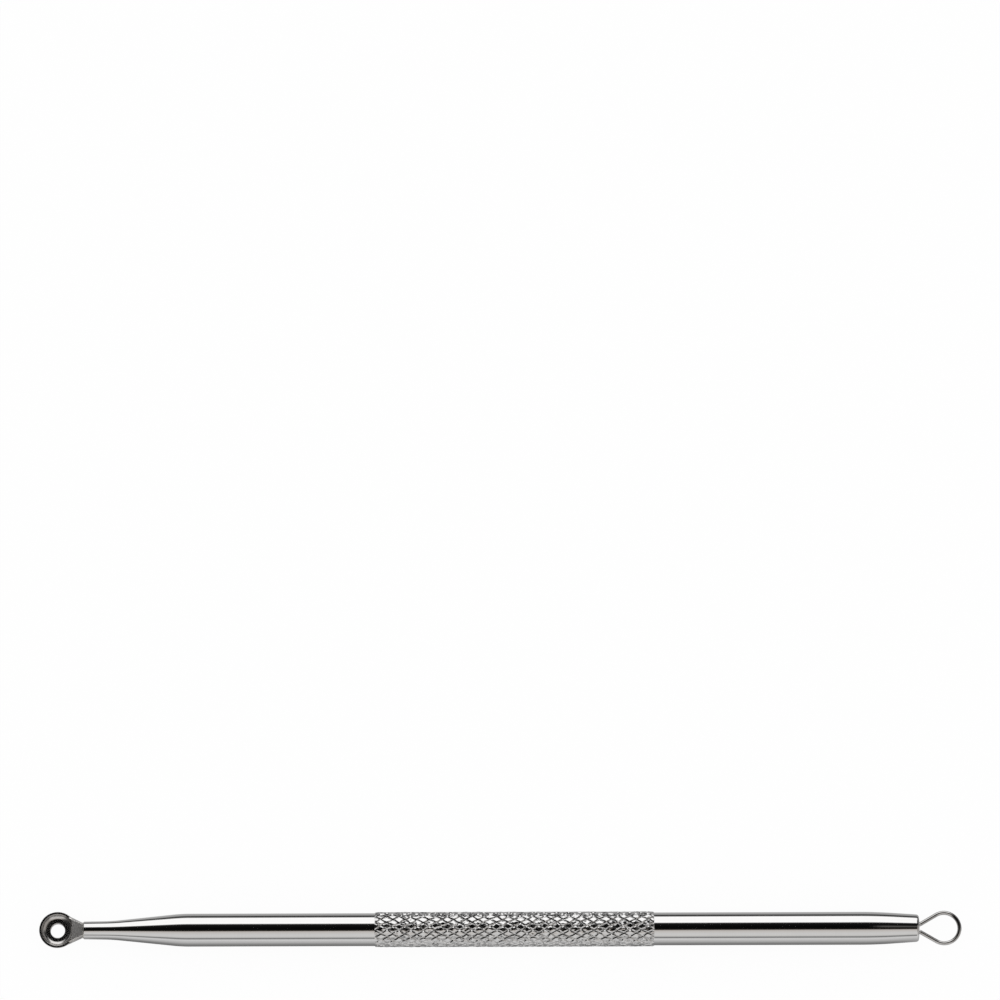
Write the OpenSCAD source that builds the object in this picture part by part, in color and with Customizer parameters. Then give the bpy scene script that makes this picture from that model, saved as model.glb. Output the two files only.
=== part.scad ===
// Double-ended blackhead extractor: a turned steel bar with a diamond-knurled grip,
// a holed spoon soldered into its slender front end and a wire loop soldered into its rear end.
// It lies along X on the plane Z = 0, the spoon at -X with its bowl opening upwards.

/* [Handle bar] */
// Length of the bar from its front face to its rear face
bar_len = 101.8; // [90:0.2:120]
// Diameter of the two plain stretches
bar_d = 4; // [3.6:0.1:4.2]
// Diameter of the front face, where the spoon goes in
nose_d = 2.15; // [2.1:0.05:2.6]
// Length of the slender nose behind the front face
nose_len = 3.4; // [2:0.2:6]
// Growth of the nose's diameter over its length
nose_swell = 0.1; // [0:0.02:0.2]
// Length of the taper from the nose to the full bar
taper_len = 8.5; // [6:0.5:14]
// Diameter that the tail is drawn in to at the rear face
tail_d = 3.3; // [2.8:0.1:3.6]
// Length of the tail
tail_len = 5.2; // [3:0.2:12]
// Rounding of the rear face's edge
tail_edge = 0.34; // [0.1:0.02:0.4]
// Rounding of the front face's edge
nose_edge = 0.08; // [0.04:0.01:0.1]

/* [Knurled grip] */
// Distance from the front face to the grip
grip_start = 35.5; // [28:0.5:44]
// Length of the grip
grip_len = 34; // [20:1:48]
// Diameter over the tops of the diamonds
grip_d = 4.3; // [4.25:0.05:4.8]
// Diamonds round the grip
diamond_count = 15; // [12:1:20]
// Length of one diamond along the grip
diamond_len = 1.478; // [1.2:0.05:2.2]
// Depth of the grooves between the diamonds
groove_depth = 0.13; // [0.1:0.01:0.3]
// Share of a diamond's width that is its flat top
flat_share = 0.6; // [0.4:0.05:0.8]
// Drop of the diamonds' tops at each end of the grip
end_drop = 0.09; // [0.02:0.01:0.09]

/* [Spoon] */
// Outer diameter of the bowl
bowl_d = 4.44; // [4:0.04:4.6]
// Width of the bowl's rim
rim_w = 0.28; // [0.1:0.01:0.3]
// Depth of the bowl, from its rim to the edge of the hole
bowl_depth = 0.49; // [0.4:0.03:0.61]
// Length of the hole's wall
hole_wall = 0.62; // [0.5:0.02:0.7]
// Diameter of the extraction hole
hole_d = 1.76; // [1.2:0.04:2.2]
// Height of the bowl's rim above the bar's axis
rim_rise = 0.42; // [0.3:0.02:0.5]
// Radius of the curve from the bowl's floor up to its rim, inside
cup_soft = 0.7; // [0.65:0.05:1.3]
// Radius of the corner under the bowl
belly_soft = 1.05; // [0.8:0.05:1.05]
// Distance from the middle of the bowl to the straight edge where its wall meets the neck
neck_reach = 1.76; // [1.5:0.02:1.9]
// Distance from the middle of the bowl to the bar's front face
bowl_reach = 3.2; // [2.9:0.1:4.5]
// Width of the neck where it leaves the bowl
neck_w = 3.5; // [3.3:0.02:3.6]
// Width of the neck's flat top where it leaves the bowl
flat_w = 2.7; // [2.4:0.02:3]
// Width of the flat top at the collar
flat_end_w = 1.3; // [1.1:0.02:1.4]
// Height of the flat top above the bar's axis at the collar
flat_end_rise = 0.62; // [0.5:0.02:0.7]
// Diameter of the round collar that meets the bar
collar_d = 1.9; // [1.7:0.02:1.94]
// Length of the collar
collar_len = 0.1; // [0.1:0.05:0.3]
// Diameter of the tang inside the bar
tang_d = 1.2; // [0.9:0.05:1.3]
// Length of the tang
tang_len = 6; // [4:0.5:8]

/* [Wire loop] */
// Diameter of the spring wire
wire_d = 0.5; // [0.4:0.02:0.6]
// Radius of the round end of the loop, to the middle of the wire
loop_r = 1.88; // [1.6:0.02:2]
// Distance from the bar's rear face to the middle of the round end
loop_reach = 3.09; // [2.8:0.01:4.5]
// Distance between the two legs inside the bar, to the middle of the wire
leg_gap = 0.9; // [0.7:0.02:1.2]
// Radius of the bend where each leg leaves the bar, to the middle of the wire
bend_r = 0.5; // [0.4:0.05:1]
// Length of each leg inside the bar
leg_len = 5.5; // [4:0.5:8]

/* [Solder] */
// Gap that the solder fills round the tang, under the collar and outside the legs
solder_gap = 0.05; // [0.03:0.01:0.08]
// Depth of each bore beyond the end of what stands in it
bore_spare = 0.4; // [0.2:0.1:1]
// Length of the solder's fillet along the collar
fillet_len = 0.08; // [0.04:0.01:0.1]
// Angle of the drill's point
drill_angle = 118; // [90:1:140]

/* [Hidden] */
$fn = 96;

bar_r = bar_d / 2;
front_len = bowl_reach + bowl_d / 2; // the spoon's length ahead of the bar
rear_len = loop_reach + loop_r + wire_d / 2; // the loop's length behind the bar
front_x = front_len - (front_len + bar_len + rear_len) / 2; // the bar's front face
rear_x = front_x + bar_len; // the bar's rear face
axis_z = grip_d / 2; // the bar lies on its grip
cut = 1; // how far the cutting shapes run past the faces that they cut

// Moves what is made about the origin to distance d behind the bar's front face, on its axis
module on_bar(d) {
    translate([front_x + d, 0, axis_z]) children();
}

// Turns what is made along +Z into the direction from the front face to the rear face
module lengthwise() {
    rotate([0, 90, 0]) children();
}

// What a drill leaves: a round bore and the cone of the drill's point; lead lengthens its mouth
module drilled(d, depth, lead = 0) {
    translate([0, 0, -lead]) cylinder(d = d, h = lead + depth);
    translate([0, 0, depth]) cylinder(d1 = d, d2 = 0, h = d / 2 / tan(drill_angle / 2));
}

/* ---- Handle bar ---- */

soft_steps = 8; // points on each rounded corner of the bar's outline
taper_soft = 1; // reach of the rounding at both ends of the front taper
tail_soft = 1.9; // reach of the rounding at the tail's start
front_bore_d = tang_d + 2 * solder_gap;
front_bore_len = tang_len + bore_spare;
rear_bore_d = leg_gap + wire_d + 2 * solder_gap;
rear_bore_len = leg_len + bore_spare;
core_r = bar_r / 2; // the bar inside the grip
lap = 0.04; // how far the plain bar runs into the grip

// A rounded corner at q between p and r, which starts and ends at distance s from q
function soft_corner(p, q, r, s) =
    let (a = q + s * (p - q) / norm(p - q), b = q + s * (r - q) / norm(r - q))
    [for (i = [0 : soft_steps])
        let (t = i / soft_steps) (1 - t) ^ 2 * a + 2 * t * (1 - t) * q + t ^ 2 * b];

// Corners of the bar's outline as [radius, distance from the front face]
nose_front = [nose_d / 2, 0];
nose_back = [(nose_d + nose_swell) / 2, nose_len];
taper_back = [bar_r, nose_len + taper_len];
tail_front = [bar_r, bar_len - tail_len];
tail_back = [tail_d / 2, bar_len];

// The bar's outline narrows inside the grip, where the knurl takes its place
bar_outline = concat(
    [[0, 0]],
    soft_corner([0, 0], nose_front, nose_back, nose_edge),
    soft_corner(nose_front, nose_back, taper_back, taper_soft),
    soft_corner(nose_back, taper_back, tail_front, taper_soft),
    [for (x = [grip_start + lap, grip_start + grip_len - lap])
        each x < grip_start + grip_len / 2 ? [[bar_r, x], [core_r, x]] : [[core_r, x], [bar_r, x]]],
    soft_corner(taper_back, tail_front, tail_back, tail_soft),
    soft_corner(tail_front, tail_back, [0, bar_len], tail_edge),
    [[0, bar_len]]
);

module handle_bar() {
    color("gainsboro") on_bar(0) lengthwise() difference() {
        union() {
            rotate_extrude() polygon(bar_outline);
            translate([0, 0, grip_start]) knurl();
        }
        drilled(front_bore_d, front_bore_len, cut);
        translate([0, 0, bar_len]) mirror([0, 0, 1]) drilled(rear_bore_d, rear_bore_len, cut);
    }
}

// The knurl is laid out on a grid of half diamonds, with rows round the grip and columns along it.
// A diamond stands wherever row + column is odd, and two grooves cross wherever it is even.
rows = 2 * diamond_count;
cols = 2 * round(grip_len / diamond_len);
top_r = grip_d / 2;
groove_r = top_r - groove_depth;
end_r = top_r - end_drop; // radius over the diamonds that an end of the grip cuts through

// A point of the knurl; row 0 faces the surface that the bar lies on
function knurl_point(row, col, r) =
    let (a = row * 360 / rows) [r * cos(a), r * sin(a), col * grip_len / cols];

// The four points kept for each place of the grid: the west, north, east and south corners
// of a diamond's flat top, or four times the same point where two grooves cross
function place_points(row, col) =
    let (at_end = col == 0 || col == cols, s = flat_share)
    (row + col) % 2 == 0
        ? [for (i = [0 : 3]) knurl_point(row, col, groove_r)]
        : [knurl_point(row, max(col - s, 0), col == 0 ? end_r : top_r),
           knurl_point(row + s, col, at_end ? end_r : top_r),
           knurl_point(row, min(col + s, cols), col == cols ? end_r : top_r),
           knurl_point(row - s, col, at_end ? end_r : top_r)];

// Number of a place's point; corner 0 is west, 1 north, 2 east and 3 south
function point_at(row, col, corner) = 4 * ((row + rows) % rows * (cols + 1) + col) + corner;

// The flat top of the diamond at row, col, and the groove flanks that run down from it
function diamond_faces(row, col) =
    let (
        w = point_at(row, col, 0), n = point_at(row, col, 1),
        e = point_at(row, col, 2), s = point_at(row, col, 3),
        north = point_at(row + 1, col, 0), south = point_at(row - 1, col, 0),
        west = point_at(row, col - 1, 0), east = point_at(row, col + 1, 0)
    )
    concat(
        [[w, n, e], [w, e, s]],
        col == 0 ? [] : [[west, n, w], [west, north, n], [west, w, s], [west, s, south]],
        col == cols ? [] : [[east, e, n], [east, n, north], [east, s, e], [east, south, s]]
    );

// The outline of the grip's end at column col, in the order of the rows
function end_face(col) =
    [for (row = [0 : rows - 1])
        for (corner = (row + col) % 2 == 0 ? [0] : col == 0 ? [3, 0, 1] : [3, 2, 1])
            point_at(row, col, corner)];

function reversed(list) = [for (i = [len(list) - 1 : -1 : 0]) list[i]];

module knurl() {
    points = [for (row = [0 : rows - 1]) for (col = [0 : cols]) each place_points(row, col)];
    diamonds = [for (row = [0 : rows - 1]) for (col = [0 : cols])
        if ((row + col) % 2 == 1) each diamond_faces(row, col)];
    polyhedron(points, concat([end_face(0)], [reversed(end_face(cols))], diamonds));
}

/* ---- Spoon ---- */

bowl_x = -bowl_reach; // middle of the bowl, from the bar's front face
collar_x = -solder_gap - collar_len; // where the neck ends and the collar begins
neck_x = bowl_x + 0.64 * bowl_d / 2; // where the neck begins, inside the bowl's wall
neck_soft = 0.15; // rounding of the neck's edges
slice_t = 0.01; // thickness of the slices that the neck is stretched between
flat_rise = 0.04; // the flat top starts this far above the rim
widest_z = 0.08; // height of the neck's widest line where it leaves the bowl
foot_rise = 0.16; // the neck's underside starts this far above the bowl's
lip_z = rim_rise - bowl_depth; // height of the hole's upper edge
under_z = lip_z - hole_wall; // height of the hole's lower edge

// A round cup's outline turned about Z, with a rounded corner of radius soft over its flat floor
module cup(r, floor_z, top_z, soft) {
    corner = [for (i = [0 : soft_steps]) let (a = -90 + 90 * i / soft_steps)
        [r - soft + soft * cos(a), floor_z + soft + soft * sin(a)]];
    rotate_extrude() polygon(concat([[0, floor_z]], corner, [[r, top_z], [0, top_z]]));
}

module bowl() {
    cup(bowl_d / 2, under_z, rim_rise, min(belly_soft, bowl_depth + hole_wall - 0.05));
}

// The bowl's hollow curves up to the rim, and stops at the neck in a straight wall across the tool
module hollow() {
    curve_run = sqrt(cup_soft ^ 2 - (cup_soft - bowl_depth) ^ 2);
    intersection() {
        cup(bowl_d / 2 - rim_w - curve_run + cup_soft, lip_z, rim_rise + cut, cup_soft);
        translate([-bowl_d, -bowl_d, lip_z - cut]) cube([bowl_d + neck_reach, 2 * bowl_d, bowl_d + cut]);
    }
}

// A slice across the neck, from the [half width, height] of its flat top, of its widest edge
// and of its flat underside
module neck_slice(x, half) {
    on_bar(x) rotate([90, 0, 90]) linear_extrude(slice_t)
        offset(r = neck_soft, $fn = 24) offset(delta = -neck_soft)
            polygon(concat(half, [for (p = reversed(half)) [-p[0], p[1]]]));
}

// The neck flares from the collar into the wall of the bowl
module neck() {
    collar_r = collar_d / 2;
    hull() {
        neck_slice(neck_x, [[flat_w / 2, rim_rise + flat_rise], [neck_w / 2, widest_z],
            [bowl_d / 4, under_z + foot_rise]]);
        neck_slice(collar_x - slice_t, [[flat_end_w / 2, flat_end_rise], [collar_r, 0],
            [flat_end_w / 2, -flat_end_rise]]);
    }
}

module spoon() {
    color("silver") difference() {
        union() {
            on_bar(bowl_x) bowl();
            neck();
            on_bar(collar_x) lengthwise() cylinder(d = collar_d, h = collar_len);
            on_bar(collar_x) lengthwise() cylinder(d = tang_d, h = tang_len - collar_x);
        }
        on_bar(bowl_x) hollow();
        on_bar(bowl_x) translate([0, 0, -bowl_d]) cylinder(d = hole_d, h = 2 * bowl_d);
    }
}

module spoon_solder() {
    seat_r = nose_d / 2 - nose_edge; // the flat part of the bar's front face
    color("lightyellow") on_bar(0) lengthwise() difference() {
        union() {
            drilled(front_bore_d, front_bore_len);
            translate([0, 0, -solder_gap]) cylinder(r = seat_r, h = solder_gap);
            translate([0, 0, -solder_gap - fillet_len])
                cylinder(d1 = collar_d + 0.02, r2 = seat_r, h = fillet_len);
        }
        translate([0, 0, -solder_gap - cut]) cylinder(d = tang_d, h = tang_len + solder_gap + cut);
        translate([0, 0, -solder_gap - cut]) cylinder(d = collar_d, h = cut);
    }
}

/* ---- Wire loop ---- */

// The round end runs on into a straight stretch, which bends the other way as it reaches the bar
// and goes in as a leg. So the straight stretch is the inner tangent of the two bends' circles.
leg_y = leg_gap / 2;
apart = norm([loop_reach, leg_y + bend_r]); // from the middle of the round end to that of a bend
slope = asin((loop_r + bend_r) / apart) - atan2(leg_y + bend_r, loop_reach);
run = sqrt(apart ^ 2 - (loop_r + bend_r) ^ 2);

// A bend of the wire in the XY plane about the origin, from the X axis over angle sweep:
// a ring of the wire between two planes through its middle
module wire_bend(r, sweep) {
    side = 2 * (r + wire_d);
    intersection() {
        translate([-side / 2, 0, -side / 2]) cube(side);
        rotate([0, 0, sweep]) intersection() {
            rotate_extrude() translate([r, 0]) circle(d = wire_d, $fn = 32);
            translate([-side / 2, -side, -side / 2]) cube(side);
        }
    }
}

// A straight stretch of the wire from the origin along Y
module wire_run(len) {
    rotate([-90, 0, 0]) cylinder(d = wire_d, h = len, $fn = 32);
}

// Half of the wire, from the tip of the round end to the end of a leg, about the round end's middle
module half_wire() {
    wire_bend(loop_r, 90 + slope);
    rotate([0, 0, 90 + slope]) translate([loop_r, 0, 0]) {
        wire_run(run);
        translate([bend_r, run, 0]) rotate([0, 180, 0]) {
            wire_bend(bend_r, slope);
            rotate([0, 0, slope]) translate([bend_r, 0, 0]) wire_run(leg_len);
        }
    }
}

// The wire, with its legs ahead of the plane X = 0 and its loop behind it
module wire() {
    translate([loop_reach, 0, 0]) {
        half_wire();
        mirror([0, 1, 0]) half_wire();
    }
}

// The two legs as straight rods; lead lengthens them past the bar's rear face
module legs(lead = 0) {
    for (side = [-1, 1])
        translate([lead, side * leg_y, 0]) mirror([1, 0, 0]) lengthwise()
            cylinder(d = wire_d, h = lead + leg_len, $fn = 32);
}

module wire_loop() {
    color("darkgray") on_bar(bar_len) wire();
}

module loop_solder() {
    color("lightyellow") on_bar(bar_len) difference() {
        mirror([1, 0, 0]) lengthwise() drilled(rear_bore_d, rear_bore_len);
        legs(cut);
    }
}

handle_bar();
spoon();
spoon_solder();
wire_loop();
loop_solder();
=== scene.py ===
# %% [markdown]
# A blackhead extractor is a slim steel hand tool. A turned bar 4 mm thick carries a diamond-knurled
# grip in the middle. A small cup with a hole is soldered into its slender front end, and a loop of
# spring wire into its rear end. Everything on it is polished metal, so what the eye sees is mostly
# the studio that it mirrors: the shapes have to be smooth and exact, and the studio has to be
# built with the same care as the tool.
#
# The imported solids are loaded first. They fix where each piece goes, and the finished pieces below
# stand for them: the turned bar, the grip, the spoon, the wire and the two beads of solder.

# %% Load the solids
import math

import bmesh
import bpy
import numpy as np
from mathutils import Matrix, Vector


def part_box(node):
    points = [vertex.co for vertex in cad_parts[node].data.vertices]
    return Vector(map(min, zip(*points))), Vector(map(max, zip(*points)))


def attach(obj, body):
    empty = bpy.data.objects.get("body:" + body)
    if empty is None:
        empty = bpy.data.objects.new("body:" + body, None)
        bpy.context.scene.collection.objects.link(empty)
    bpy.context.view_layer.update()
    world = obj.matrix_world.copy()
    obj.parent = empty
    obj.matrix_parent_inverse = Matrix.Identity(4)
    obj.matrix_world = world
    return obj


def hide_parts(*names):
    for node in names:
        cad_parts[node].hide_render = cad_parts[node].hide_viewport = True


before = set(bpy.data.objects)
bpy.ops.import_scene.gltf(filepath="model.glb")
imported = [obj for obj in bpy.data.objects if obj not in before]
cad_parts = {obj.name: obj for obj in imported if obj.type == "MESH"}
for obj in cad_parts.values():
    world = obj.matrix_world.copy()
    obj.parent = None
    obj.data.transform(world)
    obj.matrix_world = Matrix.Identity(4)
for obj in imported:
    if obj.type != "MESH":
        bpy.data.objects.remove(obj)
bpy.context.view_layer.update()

# %% [markdown]
# The tool is so small that millimetres are the natural unit. Shapes are worked out in millimetres
# and turned into metres once, when each mesh is finished. Two places come from the solids: the
# faces of the bar, which everything is measured from, and the height of its axis.

# %% Millimetres and the bar's place
MM = 0.001

bar_low, bar_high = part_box("handle_bar")
front_x, rear_x = bar_low.x / MM, bar_high.x / MM
axis_z = (bar_low.z + bar_high.z) / 2 / MM
print(f"bar from {front_x:.2f} to {rear_x:.2f} mm, axis {axis_z:.2f} mm above the floor")

# %% [markdown]
# Node trees are long to write by hand, so two small classes do the typing. A Signal is a value on
# its way through a tree, and a sum written with it adds the Math nodes. A Board adds any other
# node: its settings go in first, then the values or signals of its sockets. The same pair
# serves the materials, the studio and the Geometry Nodes.


# %% Signals
class Signal:
    """A number, colour or mesh that travels through a node tree."""

    def __init__(self, board, socket):
        self.board, self.socket = board, socket

    def maths(self, operation, *others):
        """Sends the signal, and after it the others, into a Math node."""
        return self.board.maths(operation, self, *others)

    def __add__(self, other):
        return self.maths("ADD", other)

    def __sub__(self, other):
        return self.maths("SUBTRACT", other)

    def __rsub__(self, other):
        return self.board.maths("SUBTRACT", other, self)

    def __mul__(self, other):
        return self.maths("MULTIPLY", other)

    __radd__, __rmul__ = __add__, __mul__

    def __truediv__(self, other):
        return self.maths("DIVIDE", other)

    def __neg__(self):
        return self.maths("MULTIPLY", -1.0)

    def __abs__(self):
        return self.maths("ABSOLUTE")

    def over(self, other):
        return self.maths("MAXIMUM", other)

    def under(self, other):
        return self.maths("MINIMUM", other)

    def ramp(self, low, high, at_low=0.0, at_high=1.0):
        """Runs smoothly from at_low to at_high while the signal goes from low to high."""
        places = {
            "Value": self, "From Min": low, "From Max": high, "To Min": at_low, "To Max": at_high,
        }
        return self.board.add("ShaderNodeMapRange", {"interpolation_type": "SMOOTHSTEP"}, places)


# %% Boards
class Board:
    """A node tree that nodes are added to."""

    def __init__(self, tree):
        self.tree = tree
        tree.nodes.clear()

    def add(self, kind, settings=None, places=None, outlet=0):
        """A new node's outlet, or the node itself where it has none."""
        node = self.tree.nodes.new(kind)
        for name, value in (settings or {}).items():
            if name == "stops":
                self.set_stops(node.color_ramp, value)
            else:
                setattr(node, name, value)
        for place, value in (places or {}).items():
            if isinstance(value, Signal):
                self.tree.links.new(value.socket, node.inputs[place])
            else:
                node.inputs[place].default_value = value
        return Signal(self, node.outputs[outlet]) if node.outputs else node

    def set_stops(self, ramp, stops):
        """Fills a colour ramp; a stop's tone is a grey or a colour."""
        while len(ramp.elements) < len(stops):
            ramp.elements.new(1.0)
        for stop, (place, tone) in zip(ramp.elements, stops):
            stop.position = place
            stop.color = (*tone, 1.0) if isinstance(tone, tuple) else (tone, tone, tone, 1.0)

    def maths(self, operation, *values):
        return self.add("ShaderNodeMath", {"operation": operation}, dict(enumerate(values)))

    def blend(self, factor, first, second):
        """Mixes two colours."""
        places = {0: factor, 6: first, 7: second}
        return self.add("ShaderNodeMix", {"data_type": "RGBA"}, places, outlet=2)

    def parts(self, vector):
        """The X, Y and Z of a vector."""
        split = self.add("ShaderNodeSeparateXYZ", {}, {0: vector})
        return [Signal(self, outlet) for outlet in split.socket.node.outputs]

    def vector(self, x, y, z):
        return self.add("ShaderNodeCombineXYZ", {}, {0: x, 1: y, 2: z})


# %% [markdown]
# The photograph is taken almost from above: the camera stands 79 degrees above the tool, and a
# long lens keeps the bar's sides parallel. The tool lies low in the picture. The camera's place
# follows from three numbers that can be read off the picture: how many pixels a millimetre takes,
# how far below the middle the tool lies, and how much it leans.

# %% Camera
PICTURE = 1000  # the picture's width and height in pixels
PX_PER_MM = 8.2
TOOL_ROW = 929.3  # the picture row that the bar's axis runs along
TOOL_MIDDLE = 499.3  # the picture column of the tool's middle
LEAN = 0.16  # the tool rises this many degrees to the right

ELEVATION = 79.0  # the camera's height above the tool, in degrees
LENS, FILM = 200.0, 36.0

focal_px = LENS / FILM * PICTURE
distance = focal_px / PX_PER_MM
below = math.degrees(math.atan((TOOL_ROW - PICTURE / 2) / focal_px))
pitch = ELEVATION - below

camera_data = bpy.data.cameras.new("photo_camera")
camera_data.lens, camera_data.sensor_width = LENS, FILM
camera_data.clip_start, camera_data.clip_end = 0.01, 10.0
camera = bpy.data.objects.new("photo_camera", camera_data)
bpy.context.scene.collection.objects.link(camera)
bpy.context.scene.camera = camera

reach = distance / math.cos(math.radians(below))
rise = math.radians(ELEVATION)
stand = Vector((0.0, -math.cos(rise), math.sin(rise)))
aim = Vector(((PICTURE / 2 - TOOL_MIDDLE) / PX_PER_MM, 0.0, axis_z))
camera.location = (stand * reach + aim) * MM
tilt = Matrix.Rotation(math.radians(90.0 - pitch), 3, "X")
camera.rotation_euler = (tilt @ Matrix.Rotation(math.radians(-LEAN), 3, "Z")).to_euler()
print(f"camera {reach:.0f} mm from the tool, looking down at {pitch:.1f} degrees")

# %% [markdown]
# A polished bar is a curved mirror: across its width it shows the whole studio, from the floor
# behind it, over the ceiling, to the floor in front. So the bands that run along the bar are the
# studio's lamps and cards. The world is made from them. The angle round the bar's direction,
# from the front horizon at 0 over the zenith at 90 to the back horizon at 180 degrees, picks a
# tone from a ramp: a pale wall in front, a black card overhead, a bright softbox behind. Towards
# the tool's ends the cards stop, and the room shows: pale in front and dim farther out, black
# behind with a grey foot, and between them black beyond the spoon and grey beyond the loop. The
# knurl's flanks, the spoon and the wire see it. A dim lamp over the loop's end puts a grey streak
# into the black band on the tail.
#
# Only mirrors see those cards. Matt things, such as the floor, are lit by a plain white sky of
# strength 1, so a colour looks about as it is written.

# %% Studio
FRONT_AND_OVERHEAD = [
    (0, 0.92), (6, 0.8), (11, 0.54), (14.5, 0.2), (17, 0.17), (20, 0.44), (24, 0.68),
    (30, (0.85, 0.84, 0.82)), (42, 0.85), (54, (0.81, 0.79, 0.77)), (62, (0.76, 0.73, 0.7)),
    (68.3, (0.66, 0.62, 0.59)), (70.3, (0.33, 0.3, 0.27)), (72.3, (0.05, 0.04, 0.03)),
    (77, 0.006), (90, 0.003), (110, 0.008), (117, 0.025), (119.5, 0.06),
]
SOFTBOX_BEHIND = [
    (121.7, 0.5), (124.2, 1.25), (126.7, 1.52), (138, 1.42), (158, 1.42), (168, 1.5),
    (171, 1.42), (174.3, 0.95), (177, 0.36), (180, 0.12),
]
WHITE, LAMP = (1, 1, 1, 1), (0.12, 0.117, 0.11, 1)
PALE, DIM = (0.85, 0.84, 0.83, 1), (0.25, 0.25, 0.25, 1)
BLACK, GREY, FOOT = (0.03, 0.03, 0.03, 1), (0.45, 0.43, 0.41, 1), (0.42, 0.42, 0.42, 1)

# Where one part gives way to the next. A direction's X runs along the bar, its Y points to the
# back and its Z up.
CARD_ENDS, LAMP_START, DIMMING = (0.3, 0.37), (0.1, 0.17), (0.48, 0.68)  # along X
FRONT, MIDDLE, BACK = (-0.72, -0.5), (-0.1, 0.1), (0.1, 0.3)  # along Y, the middle along X too
FOOT_TOP, CEILING = (0.25, 0.4), (0.82, 0.92)  # along Z
LAMP_TURN, LAMP_HALF = 272.0, 10.0  # the lamp's place on the turn round the bar, in degrees


def studio():
    world = bpy.data.worlds.new("studio")
    bpy.context.scene.world = world
    world.use_nodes = True
    world.cycles.sampling_method = "NONE"  # the cards are found by the mirrors' own rays
    board = Board(world.node_tree)
    direction = board.add("ShaderNodeTexCoord", {}, {}, outlet="Generated")
    along, across, up = board.parts(direction)

    turn = up.maths("ARCTAN2", -across) / (2 * math.pi) + 0.5
    stops = [(angle / 360 + 0.5, tone) for angle, tone in FRONT_AND_OVERHEAD + SOFTBOX_BEHIND]
    cards = board.add("ShaderNodeValToRGB", {"stops": stops}, {0: turn})
    lamp = abs(turn * 360.0 - LAMP_TURN).ramp(0.0, LAMP_HALF, 1.0, 0.0)
    cards = board.blend(along.ramp(*LAMP_START) * lamp, cards, LAMP)

    front = board.blend(abs(along).ramp(*DIMMING), PALE, DIM)
    beyond = board.blend(along.ramp(*MIDDLE) * up.ramp(*CEILING, 1.0, 0.0), BLACK, GREY)
    room = board.blend(across.ramp(*FRONT), front, beyond)
    room = board.blend(across.ramp(*BACK), room, BLACK)
    room = board.blend(across.ramp(*MIDDLE) * up.ramp(*FOOT_TOP, 1.0, 0.0), room, FOOT)

    mirrored = board.blend(abs(along).ramp(*CARD_ENDS), cards, room)
    mirror_ray = board.add("ShaderNodeLightPath", {}, {}, outlet="Is Glossy Ray")
    seen = board.blend(mirror_ray, WHITE, mirrored)
    sky = board.add("ShaderNodeBackground", {}, {"Color": seen, "Strength": 1.0})
    board.add("ShaderNodeOutputWorld", {}, {"Surface": sky})
    print("studio:", len(stops), "tones round the bar")


studio()

# %% [markdown]
# The floor is a sheet of white paper. It has to look white in the picture and still carry the
# tool's shadow, so to the camera it is mostly a plain white glow with a share of real, shaded
# paper. To the metal it is a glow with painted shade: it darkens close to the tool, where little
# light gets in, and that painted shade gives the bar's lower side its grey. A dark band painted
# far behind draws a thin line along the bar's upper edge. Both painted tones are ramps over the
# distance d from the tool, taken as d / (d + 4 mm), so that the whole floor fits between 0 and 1.

# %% Floor
SHADED_SHARE = 0.05  # share of the paper, as the camera sees it, that takes shadows
# Along this half length the paper that the metal sees carries painted shade.
TOOL_HALF = 46.0  # half the length of the tool that darkens the paper, in millimetres
HALFWAY = 4.0  # the distance at the middle of both ramps, in millimetres
FLOOR_HALF = 3.0  # half the width of the sheet, in metres
FIBRES = 900.0  # paper fibres on a metre
PAPER, PAPER_FIBRE = (0.86, 0.86, 0.86, 1), (0.89, 0.89, 0.89, 1)
# Painted shade on the paper that the metal sees, by distance from the tool: darkest close to it,
# with a dark band painted far behind.
PAINTED_SHADE_IN_FRONT = [
    (0, 0.2), (0.4, 0.21), (0.45, 0.24), (0.535, 0.31), (0.628, 0.48), (0.72, 0.64),
    (0.835, 0.73), (1, 0.86),
]
PAINTED_SHADE_BEHIND = [
    (0, 0.4), (0.44, 0.6), (0.57, 0.53), (0.65, 0.5), (0.7, 0.46), (0.74, 0.36),
    (0.79, 0.14), (0.84, 0.04), (0.89, 0.03), (0.94, 0.06), (1, 0.15),
]


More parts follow.
